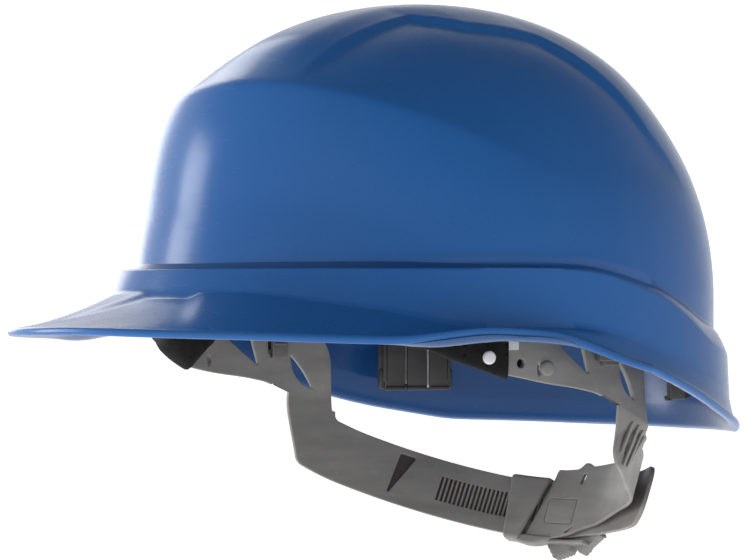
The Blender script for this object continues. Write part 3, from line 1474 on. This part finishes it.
def arch(front, crown, rear, count=9):
    """Points on the circle through three (reach, height) points."""
    (ax, ay), (bx, by), (cx, cy) = front, crown, rear
    d = 2 * (ax * (by - cy) + bx * (cy - ay) + cx * (ay - by))
    ux = ((ax**2 + ay**2) * (by - cy) + (bx**2 + by**2) * (cy - ay) + (cx**2 + cy**2) * (ay - by)) / d
    uy = ((ax**2 + ay**2) * (cx - bx) + (bx**2 + by**2) * (ax - cx) + (cx**2 + cy**2) * (bx - ax)) / d
    radius = math.hypot(ax - ux, ay - uy)
    first = math.atan2(ay - uy, ax - ux)
    last = math.atan2(cy - uy, cx - ux)
    if first < last:
        first += 2 * math.pi
    return [
        (ux + radius * math.cos(turn), uy + radius * math.sin(turn))
        for turn in np.linspace(first, last, count)
    ]


# Ends of a diagonal at its front and rear key, as (reach from the crossing, height)
FRONT_LOOP = ((-79, 58), (-84.5, 48), (-87.5, 38.5), (-90, 34.2), (-96, 34.0), (-98.3, 37),
              (-96.5, 39.6), (-91, 39.4))
REAR_TAIL = ((95.2, 7.0), (95.6, 2.0), (95.7, -4.0), (95.9, -8.0), (96.2, -9.6), (97.0, -10.0))


def make_diagonal(node, turn, count=13):
    """Diagonal band: looped round its front key's bar, over the head and down behind its rear key."""
    crown = (0.0, WEB_CROWN_Z + (WEB_STEP if "front_right" in node else 0.0))
    line = list(FRONT_LOOP) + arch((-87, 44), crown, (92, 12), count) + list(REAR_TAIL)
    direction = np.array((math.cos(math.radians(turn)), math.sin(math.radians(turn)), 0))
    points = [
        (direction[0] * reach, WEB_CROSS_Y + direction[1] * reach, height)
        for reach, height in line
    ]
    side = (direction[1], -direction[0], 0)
    path = smooth_path(points)
    piece = ribbon(node + "_tape", path, side, WEB_WIDTH, WEB_THICKNESS, WEBBING_WHITE)
    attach(piece, "harness")
    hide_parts(node)


make_diagonal("webbing_front_left_rear_right", 135)
make_diagonal("webbing_front_right_rear_left", 45)


def make_side_band():
    """Band over the crown from clip to clip."""
    node = "webbing_side_to_side"
    low, high = corners_mm(node)
    y = (low[1] + high[1]) / 2
    reach = BAND_RADIUS - 0.5
    over = arch((-reach, 27), (0, WEB_CROWN_Z + 2 * WEB_STEP), (reach, 27), 13)
    hook = ((1.8, 26.4), (3.6, 25.6), (4.6, 23), (4.7, 15))
    left = [(BAND_RADIUS + out, up) for out, up in hook]
    right = [(-x, up) for x, up in reversed(left)]
    points = [(x, y, z) for x, z in [*right, *over, *left]]
    path = smooth_path(points)
    piece = ribbon(node + "_tape", path, (0, 1, 0), WEB_WIDTH, WEB_THICKNESS, WEBBING_WHITE)
    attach(piece, "harness")
    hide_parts(node)


make_side_band()


# Crown patch: its edge as (share of the radius, level), and its ring of stitches
PATCH_PROFILE = ((0.02, 0.6), (0.5, 0.62), (0.9, 0.6), (0.97, 0.45), (1.0, 0.0), (0.97, -0.45),
                 (0.9, -0.6), (0.5, -0.62), (0.02, -0.6))
PATCH_SEAM = 0.84
PATCH_STITCHES = 30


def ring(radius, level, count):
    """Points on a level circle about the origin."""
    made = []
    for step in range(count):
        turn = 2 * math.pi * step / count
        made.append(np.array((radius * math.cos(turn), radius * math.sin(turn), level)))
    return made


def make_crown_patch():
    """Round patch sewn under the crossing, with a ring of stitches."""
    low, high = corners_mm("crown_patch")
    centre = (low + high) / 2
    radius = (high[0] - low[0]) / 2
    around = 64
    points = []
    for share, level in PATCH_PROFILE:
        points += [centre + offset for offset in ring(radius * share, level, around)]
    last = (len(PATCH_PROFILE) - 1) * around
    faces = grid_faces(len(PATCH_PROFILE), around)
    faces.append(tuple(range(around)))
    faces.append(tuple(last + step for step in range(around))[::-1])
    mesh = mesh_from("crown_patch_disc", points, faces)
    layer = mesh.uv_layers.new(name="weave")
    for loop in mesh.loops:
        place = mesh.vertices[loop.vertex_index].co
        layer.data[loop.index].uv = (place.x, place.y)
    finish_mesh(mesh, 60)
    piece = new_object("crown_patch_disc", mesh, WEBBING_WHITE)
    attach(piece, "harness")
    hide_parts("crown_patch")
    places = [centre + offset for offset in ring(PATCH_SEAM * radius, -0.65, PATCH_STITCHES)]
    turns = [2 * math.pi * step / PATCH_STITCHES for step in range(PATCH_STITCHES)]
    directions = [(-math.sin(turn), math.cos(turn), 0) for turn in turns]
    seam = stitches("crown_patch_stitching", places, directions, THREAD_WHITE)
    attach(seam, "harness")


make_crown_patch()

# ---------------------------------------------------------------- camera, light and floor
VIEW_TURN = math.radians(44.0)
VIEW_DISTANCE = 0.9
VIEW_HEIGHT = 0.025
LENS = 118.2
SHIFT = (-0.0576, 0.0268)


def make_camera():
    data = bpy.data.cameras.new("camera")
    data.lens = LENS
    data.sensor_width = 36.0
    data.shift_x, data.shift_y = SHIFT
    data.clip_start = 0.01
    data.clip_end = 50.0
    camera = bpy.data.objects.new("camera", data)
    bpy.context.scene.collection.objects.link(camera)
    camera.location = (
        VIEW_DISTANCE * math.sin(VIEW_TURN),
        -VIEW_DISTANCE * math.cos(VIEW_TURN),
        VIEW_HEIGHT,
    )
    camera.rotation_euler = (math.pi / 2, 0, VIEW_TURN)
    bpy.context.scene.camera = camera


def area_light(name, place, target, size, power):
    data = bpy.data.lights.new(name, "AREA")
    data.shape = "RECTANGLE"
    data.size, data.size_y = size
    data.energy = power
    light = bpy.data.objects.new(name, data)
    bpy.context.scene.collection.objects.link(light)
    light.location = place
    direction = Vector(target) - Vector(place)
    light.rotation_euler = direction.to_track_quat("-Z", "Y").to_euler()


# Soft light from the room, as (direction, cosine where it starts, cosine where it is full, strength)
ROOM_LIGHT = (
    ((0, 0, -1), -0.8, 0.0, 0.45),
    ((-0.9, 0.43, 0.0), 0.45, 0.93, 0.6),
    ((-0.3, -0.93, 0.15), 0.1, 1.0, 0.4),
    ((0, 0, 1), -1.01, -1.0, 0.12),
)


def make_world():
    """White room: brightest behind the hat and to its front left, dim overhead."""
    world = bpy.data.worlds.new("studio")
    bpy.context.scene.world = world
    world.use_nodes = True
    tree = world.node_tree
    tree.nodes.clear()
    place = tree.nodes.new("ShaderNodeTexCoord")
    total = None
    for direction, low, high, strength in ROOM_LIGHT:
        towards = tree.nodes.new("ShaderNodeVectorMath")
        towards.operation = "DOT_PRODUCT"
        tree.links.new(place.outputs["Generated"], towards.inputs[0])
        towards.inputs[1].default_value = direction
        ramp = tree.nodes.new("ShaderNodeMapRange")
        ramp.interpolation_type = "SMOOTHSTEP"
        tree.links.new(towards.outputs["Value"], ramp.inputs["Value"])
        for key, value in (("From Min", low), ("From Max", high), ("To Min", 0.0), ("To Max", strength)):
            ramp.inputs[key].default_value = value
        if total is None:
            total = ramp.outputs[0]
            continue
        adder = tree.nodes.new("ShaderNodeMath")
        adder.operation = "ADD"
        tree.links.new(total, adder.inputs[0])
        tree.links.new(ramp.outputs[0], adder.inputs[1])
        total = adder.outputs[0]
    background = tree.nodes.new("ShaderNodeBackground")
    output = tree.nodes.new("ShaderNodeOutputWorld")
    background.inputs["Color"].default_value = (1, 1, 1, 1)
    tree.links.new(total, background.inputs["Strength"])
    tree.links.new(background.outputs[0], output.inputs[0])


FLOOR_Z = -1.6


def make_floor():
    bpy.ops.mesh.primitive_plane_add(size=120, location=(0, 0, FLOOR_Z))
    floor = bpy.context.object
    floor.name = "floor"
    floor.data.materials.append(studio_floor())


make_camera()
make_world()
make_floor()
area_light("left_back", (-1.7, 0.5, 0.7), (0, 0, 0.08), (0.7, 1.4), 7.0)
area_light("front_left", (-2.2, -1.3, 0.2), (0, 0, 0.05), (0.8, 1.8), 30.0)
bpy.context.scene.view_settings.view_transform = "Standard"
